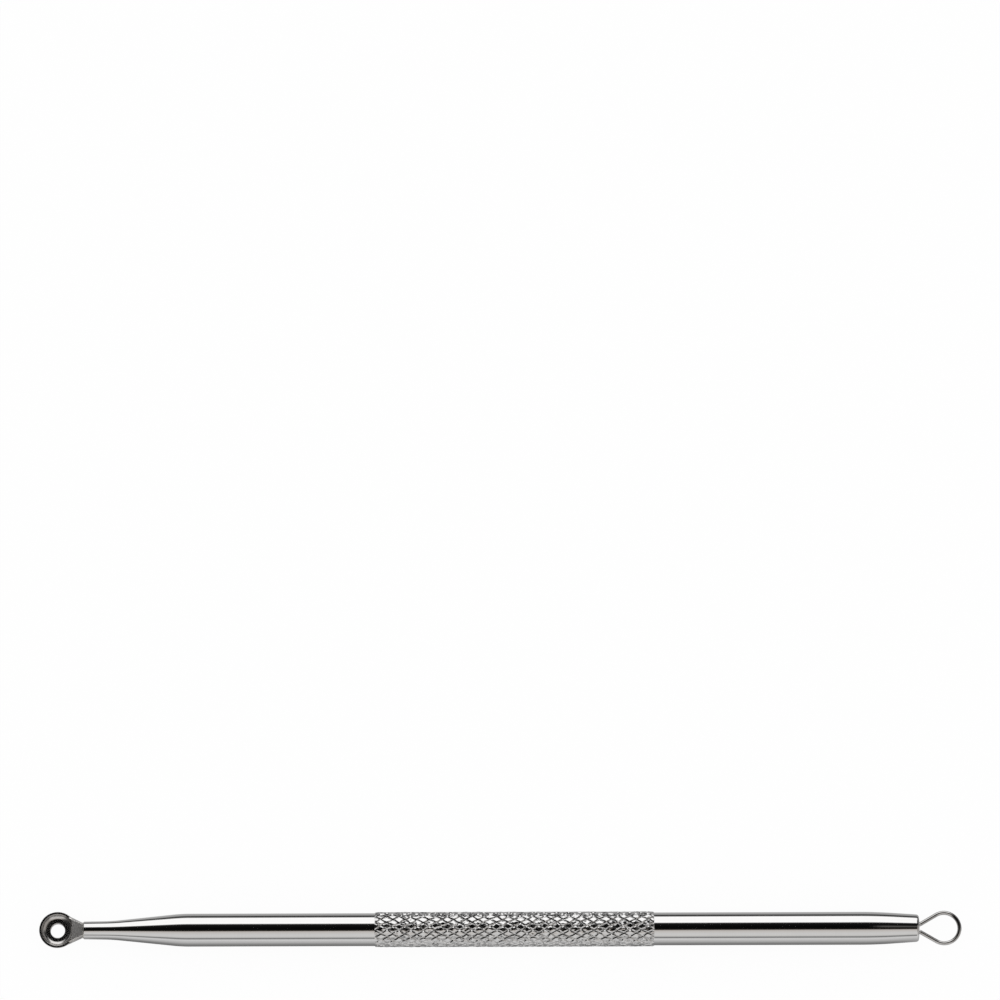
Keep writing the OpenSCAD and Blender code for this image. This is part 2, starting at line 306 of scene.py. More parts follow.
def floor():
    sheet = bpy.data.meshes.new("floor")
    corners = [(-1, -1), (1, -1), (1, 1), (-1, 1)]
    sheet.from_pydata([(FLOOR_HALF * x, FLOOR_HALF * y, 0) for x, y in corners], [], [(0, 1, 2, 3)])
    ground = bpy.data.objects.new("floor", sheet)
    bpy.context.scene.collection.objects.link(ground)
    paper = bpy.data.materials.new("white_paper")
    paper.use_nodes = True
    board = Board(paper.node_tree)
    to_camera = board.add("ShaderNodeLightPath", {}, {}, outlet="Is Camera Ray")
    to_metal = board.add("ShaderNodeLightPath", {}, {}, outlet="Is Glossy Ray")
    place = board.add("ShaderNodeTexCoord", {}, {}, outlet="Object")
    x, y, _ = board.parts(place)
    past, beside = (abs(x) / MM - TOOL_HALF).over(0.0), y / MM
    away = (past * past + beside * beside).maths("SQRT")
    share = away / (away + HALFWAY)
    # The paper that the metal sees glows with these painted shade tones instead of being lit.
    front = board.add("ShaderNodeValToRGB", {"stops": PAINTED_SHADE_IN_FRONT}, {0: share})
    back = board.add("ShaderNodeValToRGB", {"stops": PAINTED_SHADE_BEHIND}, {0: share})
    near = board.blend(y.maths("GREATER_THAN", 0.0), front, back)
    painted_shade_glow = board.add("ShaderNodeEmission", {}, {"Color": near, "Strength": 1.0})
    fibre = board.add("ShaderNodeTexNoise", {}, {"Scale": FIBRES, "Detail": 3.0})
    tone = board.blend(fibre, PAPER, PAPER_FIBRE)
    shaded = board.add("ShaderNodeBsdfDiffuse", {}, {"Color": tone})
    glow = board.add("ShaderNodeEmission", {}, {"Color": WHITE, "Strength": 1.0})
    glowing = to_camera * (1.0 - SHADED_SHARE)
    pictured = board.add("ShaderNodeMixShader", {}, {0: glowing, 1: shaded, 2: glow})
    surface = board.add("ShaderNodeMixShader", {}, {0: to_metal, 1: pictured, 2: painted_shade_glow})
    board.add("ShaderNodeOutputMaterial", {}, {"Surface": surface})
    sheet.materials.append(paper)
    print("floor:", len(PAINTED_SHADE_IN_FRONT) + len(PAINTED_SHADE_BEHIND), "tones by distance")


floor()

# %% [markdown]
# All the steel is the same stainless, finished in different ways. Turned and polished bar keeps
# very fine marks that run round it, so its roughness and a faint bump follow thin rings along X.
# Handling leaves a few soft smudges, and there are hairline scratches. The knurl is a little
# dented from use, and at the bottom of its grooves it is darker and rougher in patches. The spoon
# is buffed by hand, with the marks running its own way, and the flat top of its neck is ground and
# left matt. The solder is a paler, softer metal.


# %% Metals
MARKS, SCRATCHES = 0.05, 0.03  # how much rougher the metal is in its fine marks and scratches
SMUDGE_GRAIN, DENT_GRAIN = 0.35, 1.6  # how many smudges and dents come on a millimetre
SCRATCH_RELIEF = 0.3  # how deep the scratches are, as a share of the fine marks
TINT = 0.03  # how much paler or darker its marks and smudges make it
SCRATCH_TURN, SCRATCH_STRETCH = (0.3, 0.5, 0.9), (7, 0.25, 7)
# At the bottom of the knurl's grooves: the darker colour, its largest share, and how much rougher it
# is.
GROOVE_DARK, GROOVE_DARK_SHARE, GROOVE_DARK_ROUGH = (0.3, 0.28, 0.26, 1), 0.15, 0.2
GROUND_ROUGH, GROUND_MATT = 0.15, 0.15
STEEL = (0.66, 0.655, 0.65)


def metal(
    name, colour, roughness, grain, grain_depth, smudge=0.04, groove=None, dents=0.0, ground=None,
):
    """Polished metal. The lengths are in millimetres.

    grain: how many fine marks come on a millimetre along X, Y and Z. grain_depth: how deep they
    are. smudge: how much rougher it is in a smudge. groove: the stretch of the mesh's groove
    attribute, at the bottom of the grooves, that is darker and rougher in patches. dents: how
    deep the dents are. ground: a function that gives a mask of what is ground matt.
    """
    material = bpy.data.materials.new(name)
    material.use_nodes = True
    board = Board(material.node_tree)

    def noise(vector, **inputs):
        return board.add("ShaderNodeTexNoise", {}, {"Vector": vector, **inputs})

    def mapped(turn, scale):
        places = {"Vector": place, "Rotation": turn, "Scale": [s / MM for s in scale]}
        return board.add("ShaderNodeMapping", {}, places)

    place = board.add("ShaderNodeTexCoord", {}, {}, outlet="Object")
    marks = noise(mapped((0, 0, 0), grain), Scale=1.0, Detail=4.0, Roughness=0.65)
    cloud = noise(place, Scale=SMUDGE_GRAIN / MM, Detail=3.0, Roughness=0.6)
    hair = noise(mapped(SCRATCH_TURN, SCRATCH_STRETCH), Scale=1.0, Detail=2.0)
    smudged, scratched = cloud.ramp(0.45, 0.75), hair.ramp(0.7, 0.76)
    rough = roughness + (marks - 0.5) * MARKS + smudged * smudge + scratched * SCRATCHES
    dark, bright = ((*(min(c * k, 1.0) for c in colour), 1) for k in (1 - TINT, 1 + TINT))
    clouded = board.blend(cloud.ramp(0.3, 0.7), dark, (*colour, 1))
    tone = board.blend(marks.ramp(0.3, 0.7), clouded, bright)
    if groove:
        # Darker and rougher in patches at the bottom of the knurl's grooves.
        depth = board.add("ShaderNodeAttribute", {"attribute_name": "groove"}, {}, outlet="Fac")
        groove_dark = depth.ramp(*groove) * cloud.ramp(0.25, 0.6, 0.0, GROOVE_DARK_SHARE)
        tone = board.blend(groove_dark, tone, GROOVE_DARK)
        rough = rough + groove_dark * GROOVE_DARK_ROUGH
    polish = 1.0
    if ground:
        matt = ground(board, place)
        rough = rough + matt * GROUND_ROUGH
        polish = 1.0 - matt * GROUND_MATT
    relief = marks + hair * SCRATCH_RELIEF
    if dents:
        dented = noise(place, Scale=DENT_GRAIN / MM, Detail=1.0)
        relief = relief + dented * (dents / grain_depth)
    depths = {"Strength": 1.0, "Distance": grain_depth * MM, "Height": relief}
    bump = board.add("ShaderNodeBump", {}, depths)
    surface = board.add("ShaderNodeBsdfPrincipled", {}, {
        "Base Color": tone, "Metallic": polish, "Roughness": rough, "Normal": bump,
    })
    board.add("ShaderNodeOutputMaterial", {}, {"Surface": surface})
    return material


def neck_top(board, place):
    """1 on the neck's flat top, which is ground and left matt."""
    x, _, z = board.parts(place)
    ahead, above = front_x - x / MM, z / MM - axis_z
    return ahead.ramp(0.14, 0.17) * ahead.ramp(1.52, 1.56, 1.0, 0.0) * above.ramp(0.36, 0.44)


turned_steel = metal("turned_steel", STEEL, 0.06, (30, 1.2, 1.2), 0.0002)
knurled_steel = metal(
    "knurled_steel", STEEL, 0.12, (12, 9, 9), 0.001, groove=(0.8, 1.0), dents=0.13,
)
buffed_steel = metal("buffed_steel", (0.58, 0.565, 0.55), 0.2, (6, 28, 10), 0.0001, ground=neck_top)
spring_wire = metal("spring_wire", (0.54, 0.53, 0.52), 0.1, (3, 3, 3), 0.0002)
silver_solder = metal("silver_solder", (0.72, 0.7, 0.65), 0.28, (5, 5, 5), 0.004, smudge=0.12)
print("metals:", ", ".join(m.name for m in bpy.data.materials))

# %% [markdown]
# The bar is turned on a lathe, so it is made the same way here: its outline goes once round the
# axis. The outline is a list of [radius, distance from the front face] in millimetres. It starts
# at the bottom of the bore that the spoon's tang stands in, comes out over the nose, the taper,
# the plain shaft and the tail, and ends in the bore for the wire's legs. Corners are rounded,
# and a long straight stretch gets an extra ring close to each end, or its shading would bend
# with the corner's.

# %% Turned outlines
BAR_LEN = rear_x - front_x
BAR_R = 2.0
NOSE_LEN, TAPER_LEN, TAIL_LEN = 3.4, 8.5, 5.2
NOSE_R, NOSE_BACK_R, TAIL_R = 1.075, 1.125, 1.65
NOSE_EDGE, TAIL_EDGE, TAPER_SOFT, TAIL_SOFT = 0.08, 0.34, 1.0, 1.9
FRONT_BORE_R, FRONT_BORE_LEN = 0.65, 6.4
REAR_BORE_R, REAR_BORE_LEN = 0.75, 5.9
DRILL_POINT = 118  # the angle of a drill's point, in degrees
DRILL_SLOPE = math.tan(math.radians(DRILL_POINT / 2))
print(f"bar {BAR_LEN:.1f} mm long and {2 * BAR_R:.1f} mm thick")


def soft_corner(before, corner, after, size, steps=8):
    """A rounded corner that starts and ends at distance size from it."""
    before, corner, after = (np.array(p, float) for p in (before, corner, after))
    start = corner + size * (before - corner) / np.linalg.norm(before - corner)
    end = corner + size * (after - corner) / np.linalg.norm(after - corner)
    return [
        tuple((1 - t) ** 2 * start + 2 * t * (1 - t) * corner + t ** 2 * end)
        for t in np.linspace(0, 1, steps + 1)
    ]


def braced(outline, gap=0.04):
    """Adds a point near both ends of each long stretch."""
    points = [outline[0]]
    for a, b in zip(outline, outline[1:]):
        a, b = np.array(a, float), np.array(b, float)
        length = np.linalg.norm(b - a)
        if length > 3 * gap:
            points += [tuple(a + (b - a) * gap / length), tuple(b - (b - a) * gap / length)]
        points.append(tuple(b))
    return points


# %% [markdown]
# Every mesh is welded first, and its faces are turned outwards. Then it becomes an object with
# one metal and smooth shading, rides on the tool's one body, and takes the place of the solid
# that it stands for.


# %% From an outline to a finished piece
def finished(name, mesh, material, slot, *nodes):
    """Turns a mesh in millimetres into a piece of the tool."""
    mesh.transform(Matrix.Scale(MM, 4))
    mesh.shade_smooth()
    mesh.materials.clear()
    mesh.materials.append(material)
    piece = bpy.data.objects.new(name, mesh)
    bpy.context.scene.collection.objects.link(piece)
    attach(piece, "root")
    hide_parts(*nodes)
    mesh.calc_loop_triangles()
    print(f"{name}: {len(mesh.loop_triangles)} triangles")


def welded(mesh):
    """Welds a mesh, points its faces outwards and counts the edges that lack their two faces."""
    work = bmesh.new()
    work.from_mesh(mesh)
    bmesh.ops.remove_doubles(work, verts=work.verts, dist=1e-5)
    bmesh.ops.recalc_face_normals(work, faces=work.faces)
    if work.calc_volume(signed=True) < 0:
        bmesh.ops.reverse_faces(work, faces=work.faces)
    uneven = sum(not edge.is_manifold for edge in work.edges)
    work.to_mesh(mesh)
    work.free()
    print(f"{mesh.name}: {uneven} edges without exactly two faces")
    return mesh


def turned(name, outline, around=144):
    """Turns an outline that starts and ends on the axis round the bar's axis."""
    verts, rings = [], []
    for r, d in outline:
        if r < 1e-6:
            rings.append([len(verts)])
            verts.append((front_x + d, 0.0, axis_z))
            continue
        rings.append(range(len(verts), len(verts) + around))
        for i in range(around):
            angle = 2 * math.pi * i / around
            verts.append((front_x + d, r * math.sin(angle), axis_z - r * math.cos(angle)))
    faces = []
    for low, high in zip(rings, rings[1:]):
        for i in range(around):
            j = (i + 1) % around
            face = [low[i % len(low)], low[j % len(low)], high[j % len(high)], high[i % len(high)]]
            faces.append(list(dict.fromkeys(face)))  # a triangle where a ring is a single point
    mesh = bpy.data.meshes.new(name)
    mesh.from_pydata(verts, [], faces)
    return welded(mesh)


# %% [markdown]
# Inside the grip the bar's outline narrows, because there the knurl is a piece of its own. It is
# rolled into the same bar on the real tool, but it needs a different way of making.

# %% Turned bar
GRIP_START, GRIP_LEN = 35.5, 34.0
LAP = 0.04  # how far the bar reaches into the grip

nose_front, nose_back = (NOSE_R, 0.0), (NOSE_BACK_R, NOSE_LEN)
taper_back, tail_front = (BAR_R, NOSE_LEN + TAPER_LEN), (BAR_R, BAR_LEN - TAIL_LEN)
tail_back = (TAIL_R, BAR_LEN)
front_mouth, rear_mouth = (FRONT_BORE_R, 0.0), (REAR_BORE_R, BAR_LEN)
front_point = FRONT_BORE_LEN + FRONT_BORE_R / DRILL_SLOPE
rear_point = BAR_LEN - REAR_BORE_LEN - REAR_BORE_R / DRILL_SLOPE
bar_outline = braced(
    [(0.0, front_point), (FRONT_BORE_R, FRONT_BORE_LEN), front_mouth]
    + soft_corner(front_mouth, nose_front, nose_back, NOSE_EDGE)
    + soft_corner(nose_front, nose_back, taper_back, TAPER_SOFT)
    + soft_corner(nose_back, taper_back, tail_front, TAPER_SOFT)
    + [(BAR_R, GRIP_START + LAP), (BAR_R / 2, GRIP_START + LAP)]
    + [(BAR_R / 2, GRIP_START + GRIP_LEN - LAP), (BAR_R, GRIP_START + GRIP_LEN - LAP)]
    + soft_corner(taper_back, tail_front, tail_back, TAIL_SOFT)
    + soft_corner(tail_front, tail_back, rear_mouth, TAIL_EDGE)
    + [rear_mouth, (REAR_BORE_R, BAR_LEN - REAR_BORE_LEN), (0.0, rear_point)]
)
bar_mesh = turned("turned_bar", bar_outline)
finished("turned_bar", bar_mesh, turned_steel, "bar_steel", "handle_bar")

# %% [markdown]
# A knurling tool presses two sets of slanting grooves into the turned bar, and what stands
# between them is a field of small diamonds with flat tops. It is one shape repeated 690 times,
# which is work for Geometry Nodes: a single diamond, cut out at the bottom of the grooves, is
# set on every other place of a grid, and the flat field is then rolled round the bar. The
# diamond's rim lies at the bottom of the grooves, where neighbours meet.
#
# The diamond is a nest of rings. Each ring is a share of its full size, at a share of its height.
# A slight hollow makes its top flat on the round bar. The hollow runs on to the rim, so that
# neighbours differ there by up to 0.02 mm, and their seam stays open.

# %% One diamond
DIAMONDS_ROUND, DIAMONDS_ALONG = 15, 23
TOP_R, GROOVE_DEPTH = 2.15, 0.13
HALF_LEN = GRIP_LEN / (2 * DIAMONDS_ALONG)
HALF_WIDTH = math.pi * TOP_R / DIAMONDS_ROUND
RINGS = [(0.57, 1.0), (0.64, 0.985), (0.69, 0.9), (0.93, 0.07), (1.0, 0.0)]


def dish(y):
    """The hollow of a diamond, so that its top is flat once it is rolled round the bar."""
    return max((RINGS[1][0] * HALF_WIDTH) ** 2 - y ** 2, 0.0) / (2 * TOP_R)


def diamond(steps=4):
    """One diamond of the knurl, lying flat, with a groove attribute that is 1 at its rim."""
    corners = [(1, 0), (0, 1), (-1, 0), (0, -1), (1, 0)]
    verts, groove = [(0.0, 0.0, GROOVE_DEPTH - dish(0.0))], [0.0]
    for size, height in RINGS:
        for (ax, ay), (bx, by) in zip(corners, corners[1:]):
            for i in range(steps):
                t = i / steps
                x = size * HALF_LEN * (ax + (bx - ax) * t)
                y = size * HALF_WIDTH * (ay + (by - ay) * t)
                verts.append((x, y, height * GROOVE_DEPTH - dish(y)))
                groove.append(1.0 - height)
    around = 4 * steps
    faces = [(0, 1 + i, 1 + (i + 1) % around) for i in range(around)]
    for ring in range(len(RINGS) - 1):
        for i in range(around):
            a, b = 1 + ring * around + i, 1 + ring * around + (i + 1) % around
            faces.append((a, a + around, b + around, b))
    mesh = bpy.data.meshes.new("diamond")
    mesh.from_pydata(verts, [], faces)
    mesh.attributes.new("groove", "FLOAT", "POINT").data.foreach_set("value", groove)
    print(f"diamond {2 * HALF_LEN:.3f} mm long, {2 * HALF_WIDTH:.3f} mm wide, {len(faces)} faces")
    return bpy.data.objects.new("diamond", mesh)


# %% [markdown]
# A Geometry Nodes tree is hung on an object as a modifier. Its inputs have names to read and
# identifiers to set them by, and the evaluated object gives the result, which is kept as a plain
# mesh. These two helpers serve the knurl and later the wire.


# %% Geometry Nodes trees and their meshes
def node_group(name, inputs):
    """A new Geometry Nodes tree with named inputs, its board, and its input signals by name."""
    group = bpy.data.node_groups.new(name, "GeometryNodeTree")
    group.interface.new_socket("Geometry", in_out="INPUT", socket_type="NodeSocketGeometry")
    for label, kind in inputs.items():
        group.interface.new_socket(label, in_out="INPUT", socket_type="NodeSocket" + kind)
    group.interface.new_socket("Geometry", in_out="OUTPUT", socket_type="NodeSocketGeometry")
    board = Board(group)
    start = group.nodes.new("NodeGroupInput")
    given = {outlet.name: Signal(board, outlet) for outlet in start.outputs if outlet.name}
    return group, board, given


def grown(name, group, values, source=None):
    """Runs a Geometry Nodes tree and gives its result as a plain mesh."""
    carrier = source or bpy.data.objects.new(name, bpy.data.meshes.new(name))
    bpy.context.scene.collection.objects.link(carrier)
    modifier = carrier.modifiers.new(name, "NODES")
    modifier.node_group = group
    for item in group.interface.items_tree:
        if item.in_out == "INPUT" and item.name in values:
            modifier[item.identifier] = values[item.name]
    bpy.context.view_layer.update()
    result = carrier.evaluated_get(bpy.context.evaluated_depsgraph_get())
    mesh = bpy.data.meshes.new_from_object(result)
    mesh.name = name
    carrier.modifiers.clear()
    bpy.data.objects.remove(carrier)
    return mesh


# %% [markdown]
# The knurl's tree starts with a grid of places and sets a diamond on each place whose row and
# column add up to an odd number. They are all made real, the halves beyond the ends of the grip
# are cut off, a noise wears the heights a little unevenly, and the field is rolled up. A second
# noise makes the rows waver, as they do when the knurling tool chatters. Row 0 faces the floor,
# as in the solids. The tops drop a little at both ends, where the knurl was chamfered.

# %% Knurl tree
WEAR_GRAIN, WAVER_GRAIN = 1.3, 0.9  # how many worn spots and sways come on a millimetre
BEYOND, WELD = 1e-4, 0.0008  # how far past the end a face is cut off, how near corners weld


def knurl_tree():
    inputs = {
        "Diamond": "Object", "Columns": "Int", "Rows": "Int", "Half length": "Float",
        "Half width": "Float", "Top radius": "Float", "Depth": "Float", "End drop": "Float",
        "End reach": "Float", "Wear": "Float", "Waver": "Float", "Seed": "Float",
        "Metal": "Material",
    }
    group, board, given = node_group("knurl", inputs)
    top_r, depth, drop = given["Top radius"], given["Depth"], given["End drop"]

    def step(kind, mesh, **more):
        """Sends the mesh through one more node."""
        return board.add("GeometryNode" + kind, {}, {"Geometry": mesh, **more})

    length = given["Columns"] * given["Half length"]
    width = (given["Rows"] - 1) * given["Half width"]
    grid = board.add("GeometryNodeMeshGrid", {}, {
        "Size X": length, "Size Y": width,
        "Vertices X": given["Columns"] + 1, "Vertices Y": given["Rows"],
    })
    places = step("Transform", grid, Translation=board.vector(length / 2, width / 2, 0.0))
    along, across, up = board.parts(board.add("GeometryNodeInputPosition"))
    column = (along / given["Half length"]).maths("ROUND")
    row = (across / given["Half width"]).maths("ROUND")
    odd = (column + row).maths("MODULO", 2.0)
    model = board.add("GeometryNodeObjectInfo", {}, {"Object": given["Diamond"]}, outlet="Geometry")
    field = board.add("GeometryNodeInstanceOnPoints", {}, {
        "Points": places, "Selection": odd, "Instance": model,
    })
    field = step("RealizeInstances", field)
    beyond = (abs(along - length / 2) - length / 2).maths("GREATER_THAN", BEYOND)
    field = board.add("GeometryNodeDeleteGeometry", {"domain": "FACE"}, {
        "Geometry": field, "Selection": beyond,
    })

    angle = across / top_r
    sine, cosine = angle.maths("SINE"), angle.maths("COSINE")
    noise_at = board.vector(along + given["Seed"], sine * top_r, cosine * top_r)
    wear = {"Vector": noise_at, "Scale": WEAR_GRAIN, "Detail": 2.0, "Roughness": 0.6}
    waver = {"Vector": noise_at, "Scale": WAVER_GRAIN, "Detail": 1.0}
    spots = board.add("ShaderNodeTexNoise", {}, wear).ramp(0.35, 0.7)
    sway, turn, _ = board.parts(board.add("ShaderNodeTexNoise", {}, waver, outlet="Color"))
    worn = up * (1.0 - given["Wear"] * spots)
    from_end = along.under(length - along)
    limit = depth - drop + from_end * drop / given["End reach"]
    radius = top_r - depth + worn.under(limit)
    held = from_end.ramp(0.0, 1.0) * given["Waver"]
    along = along + (sway - 0.5) * held
    angle = angle + (turn - 0.5) * held / top_r
    rolled = board.vector(along, radius * angle.maths("SINE"), -(radius * angle.maths("COSINE")))
    field = step("SetPosition", field, Position=rolled)
    field = step("MergeByDistance", field, Distance=WELD)
    field = step("RealizeInstances", field)
    field = step("SetMaterial", field, Material=given["Metal"])
    board.add("NodeGroupOutput", {}, {"Geometry": field})
    return group


# %% [markdown]
# Rolled up, the field is a sleeve that is open at both ends. Each end gets a flat face: a fan
# of triangles from the axis, with a crisp edge where it meets the diamonds. The knurled part of
# the real bar is solid, and of the sleeve only the seams between the diamonds stay open.

# %% Knurled grip
END_DROP, END_REACH = 0.09, 0.3
WEAR, WAVER, SEED = 0.3, 0.5, 4.0
AT_END = 0.01  # how near an edge of the end face is to the end


def knurled_sleeve():
    model = diamond()
    bpy.context.scene.collection.objects.link(model)
    mesh = grown("knurled_grip", knurl_tree(), {
        "Diamond": model, "Columns": 2 * DIAMONDS_ALONG, "Rows": 2 * DIAMONDS_ROUND,
        "Half length": HALF_LEN, "Half width": HALF_WIDTH,
        "Top radius": TOP_R, "Depth": GROOVE_DEPTH, "End drop": END_DROP, "End reach": END_REACH,
        "Wear": WEAR, "Waver": WAVER, "Seed": SEED, "Metal": knurled_steel,
    })
    bpy.data.objects.remove(model)
    mesh.transform(Matrix.Translation((front_x + GRIP_START, 0.0, axis_z)))
    work = bmesh.new()
    work.from_mesh(mesh)
    rim = [edge for edge in work.edges if edge.is_boundary]
    for end in (front_x + GRIP_START, front_x + GRIP_START + GRIP_LEN):
        middle = work.verts.new((end, 0.0, axis_z))
        for edge in rim:
            if abs(edge.verts[0].co.x - end) < AT_END:
                work.faces.new((*edge.verts, middle))
    for edge in rim:
        edge.smooth = False
    work.to_mesh(mesh)
    work.free()
    print(f"knurled_grip: {len(rim)} edges at its ends and in its seams")
    return welded(mesh)


finished("knurled_grip", knurled_sleeve(), knurled_steel, "bar_steel", "handle_bar")

# %% [markdown]
# The spoon is pressed and ground from one piece: a round cup with a hole in its floor, a neck
# that runs from the cup into a round collar, and a tang inside the bar. The cup melts into the
# neck, which is hard to model with turned and extruded parts. So the spoon is written as a
# distance: a formula that says, for any point, how far it is from the surface, negative inside.
# Two solids join where the smaller distance is taken, and a rounded corner is a matter of how
# the larger of two distances is taken.

# %% Spoon as a distance
BOWL_REACH, BOWL_R, RIM_W, RIM_RISE = 3.2, 2.22, 0.28, 0.42
BOWL_DEPTH, HOLE_WALL, HOLE_R = 0.49, 0.62, 0.88
CUP_CURVE, BELLY_CORNER = 0.7, 1.05
COLLAR_R, COLLAR_END, COLLAR_LEN = 0.95, -0.05, 0.1
TANG_R, TANG_LEN = 0.6, 6.0
NECK_START, NECK_REACH = 1.42, 1.76
RIM_EDGE, HOLE_EDGE, COLLAR_EDGE, TANG_EDGE, NECK_EDGE = 0.02, 0.06, 0.03, 0.05, 0.05
CUP_FILLET, COLLAR_FILLET, HOLLOW_END = 0.1, 0.04, 0.1

lip_z = RIM_RISE - BOWL_DEPTH
under_z = lip_z - HOLE_WALL
hollow_r = BOWL_R - RIM_W + CUP_CURVE - math.sqrt(CUP_CURVE ** 2 - (CUP_CURVE - BOWL_DEPTH) ** 2)
bowl_x = front_x - BOWL_REACH
collar_x = front_x + COLLAR_END - COLLAR_LEN

# The neck's corners as [half width, height above the axis], at the cup and at the collar
NECK_TOP = (1.43, RIM_RISE + 0.04), (0.7, 0.62)
NECK_SIDE = (1.75, 0.08), (COLLAR_R, 0.0)
NECK_FOOT = (1.11, under_z + 0.16), (0.65, -0.62)
print(f"spoon: {BOWL_REACH + BOWL_R:.2f} mm out of the bar, hollow {2 * hollow_r:.2f} mm across")


def both(a, b, round_off=0.0):
    """The distance to what two solids share, with the corner between them rounded off."""
    if round_off == 0.0:
        return np.maximum(a, b)
    corner = np.hypot(np.maximum(a + round_off, 0), np.maximum(b + round_off, 0)) - round_off
    return np.where((a > -round_off) & (b > -round_off), corner, np.maximum(a, b))


def either(a, b, fillet):
    """The distance to two solids together, with a fillet in the corner between them."""
    return -both(-a, -b, fillet)


def line_side(y, z, p, q):
    """Signed distance from the line through p and q, positive on its left."""
    dy, dz = q[0] - p[0], q[1] - p[1]
    return ((z - p[1]) * dy - (y - p[0]) * dz) / np.sqrt(dy ** 2 + dz ** 2)


# %% Formula of the spoon
def neck(x, y, z):
    """The neck: a six-sided bar whose section changes from the cup to the collar."""
    t = np.clip((x - bowl_x - NECK_START) / (collar_x - bowl_x - NECK_START), 0, 1)
    top, side, foot = (
        [at_cup + (at_collar - at_cup) * t for at_cup, at_collar in zip(*corner)]
        for corner in (NECK_TOP, NECK_SIDE, NECK_FOOT)
    )
    y = abs(y)
    hull = both(z - top[1], line_side(y, z, top, side), NECK_EDGE)
    hull = both(hull, line_side(y, z, side, foot), NECK_EDGE)
    hull = both(hull, foot[1] - z, NECK_EDGE)
    hull = both(hull, bowl_x + NECK_START - x)
    return both(hull, x - collar_x)


def spoon_distance(x, y, z):
    """The distance to the spoon: cup, neck, collar and tang together, less hollow and hole."""
    z = z - axis_z
    r = np.hypot(x - bowl_x, y)
    off_axis = np.hypot(y, z)
    cup = both(both(r - BOWL_R, under_z - z, BELLY_CORNER), z - RIM_RISE, RIM_EDGE)
    collar_ends = abs(x - collar_x - COLLAR_LEN / 2) - COLLAR_LEN / 2
    collar = both(off_axis - COLLAR_R, collar_ends, COLLAR_EDGE)
    tang = both(off_axis - TANG_R, both(x - front_x - TANG_LEN, collar_x - x), TANG_EDGE)
    head = either(cup, neck(x, y, z), CUP_FILLET)
    body = either(head, np.minimum(collar, tang), COLLAR_FILLET)
    hollow = both(r - hollow_r, lip_z - z, CUP_CURVE)
    hollow = both(hollow, x - bowl_x - NECK_REACH, HOLLOW_END)
    body = both(body, -hollow, RIM_EDGE)
    return both(body, HOLE_R - r, HOLE_EDGE)


# %% [markdown]
# A mesh is drawn over that formula with surface nets. Space is cut into small cubes; every cube
# that the surface passes through gets one point, and every grid edge that it crosses gets a
# face between the four cubes around it. Each point is then moved onto the surface along the
# distance's slope, which makes it as smooth as the formula.


# %% Surface nets
SETTLING, FLATTEST = 6, 0.05  # how often the points are moved, and the least slope reckoned with
HALVES = slice(None, -1), slice(1, None)  # a cube's near and far corners along an axis


def surface_net(distance_to, low, high, cell):
    """The points and four-sided faces of the surface where distance_to is nought.

    Where two sheets of the surface pass through one cube they share a point, and sometimes an edge.
    """
    sizes = [int(math.ceil((h - l) / cell)) + 1 for l, h in zip(low, high)]
    ticks = [l + cell * np.arange(n) for l, n in zip(low, sizes)]
    inside = distance_to(*np.meshgrid(*ticks, indexing="ij")) < 0
    count = sum(inside[i, j, k].astype(int) for i in HALVES for j in HALVES for k in HALVES)
    cut = (count > 0) & (count < 8)
    number = np.full(cut.shape, -1)
    number[cut] = np.arange(cut.sum())
    points = np.stack([t[i] + cell / 2 for t, i in zip(ticks, np.nonzero(cut))], axis=1)
    faces = []
    for axis in range(3):
        first, second = [a for a in range(3) if a != axis]
        ahead = np.moveaxis(inside, (axis, first, second), (0, 1, 2))
        cells = np.moveaxis(number, (axis, first, second), (0, 1, 2))
        crossing = ahead[:-1, 1:-1, 1:-1] != ahead[1:, 1:-1, 1:-1]
        i, j, k = np.nonzero(crossing)
        around = [(0, 0), (1, 0), (1, 1), (0, 1)]
        quad = np.stack([cells[i, j + up, k + over] for up, over in around], axis=1)
        leaving = ahead[:-1, 1:-1, 1:-1][i, j, k]
        flip = leaving != (axis != 1)
        quad[flip] = quad[flip][:, ::-1]
        faces.append(quad)
    step = cell / 20
    for _ in range(SETTLING):
        value = distance_to(*points.T)
        slope = np.stack([
            (distance_to(*(points + d).T) - distance_to(*(points - d).T)) / (2 * step)
            for d in np.eye(3) * step
        ], axis=1)
        move = value / np.maximum((slope ** 2).sum(axis=1), FLATTEST)
        points -= np.clip(move, -cell / 2, cell / 2)[:, None] * slope
    return points, np.concatenate(faces)


def netted(name, distance_to, low, high, cell):
    """A mesh of what distance_to describes, as far as the box from low to high reaches."""
    points, faces = surface_net(distance_to, low, high, cell)
    mesh = bpy.data.meshes.new(name)
    mesh.from_pydata(points.tolist(), [], faces.tolist())
    return welded(mesh)


# %% Spoon
SPOON_CELL, SOLDER_CELL = ((0.028, 0.03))
MARGIN = 0.1

# The box's floor lies just under the bowl. The collar is deeper, so its lowest sliver stays open.
spoon_low = (bowl_x - BOWL_R - MARGIN, -BOWL_R - MARGIN, axis_z + under_z - MARGIN)
spoon_high = (front_x + TANG_LEN + MARGIN, BOWL_R + MARGIN, axis_z + COLLAR_R + MARGIN)
spoon_mesh = netted("holed_spoon", spoon_distance, spoon_low, spoon_high, SPOON_CELL)
finished("holed_spoon", spoon_mesh, buffed_steel, "spoon_steel", "spoon")

# %% [markdown]
# The loop is one length of spring wire bent round a pin: a round end, two straight stretches
# that run together like the sides of a drop, and a small bend back on each side where the wire
# turns into the bar. The line through its middle is drawn first, from one leg round to the
# other, and Geometry Nodes then sweep a circle along it.

# %% Line of the wire
WIRE_R, LOOP_R, LOOP_REACH = 0.25, 1.88, 3.09
LEG_Y, BEND_R, LEG_LEN, LEG_START = 0.45, 0.5, 5.5, 0.05
LOOP_POINTS, BEND_POINTS, WIRE_SIDES = 64, 14, 28


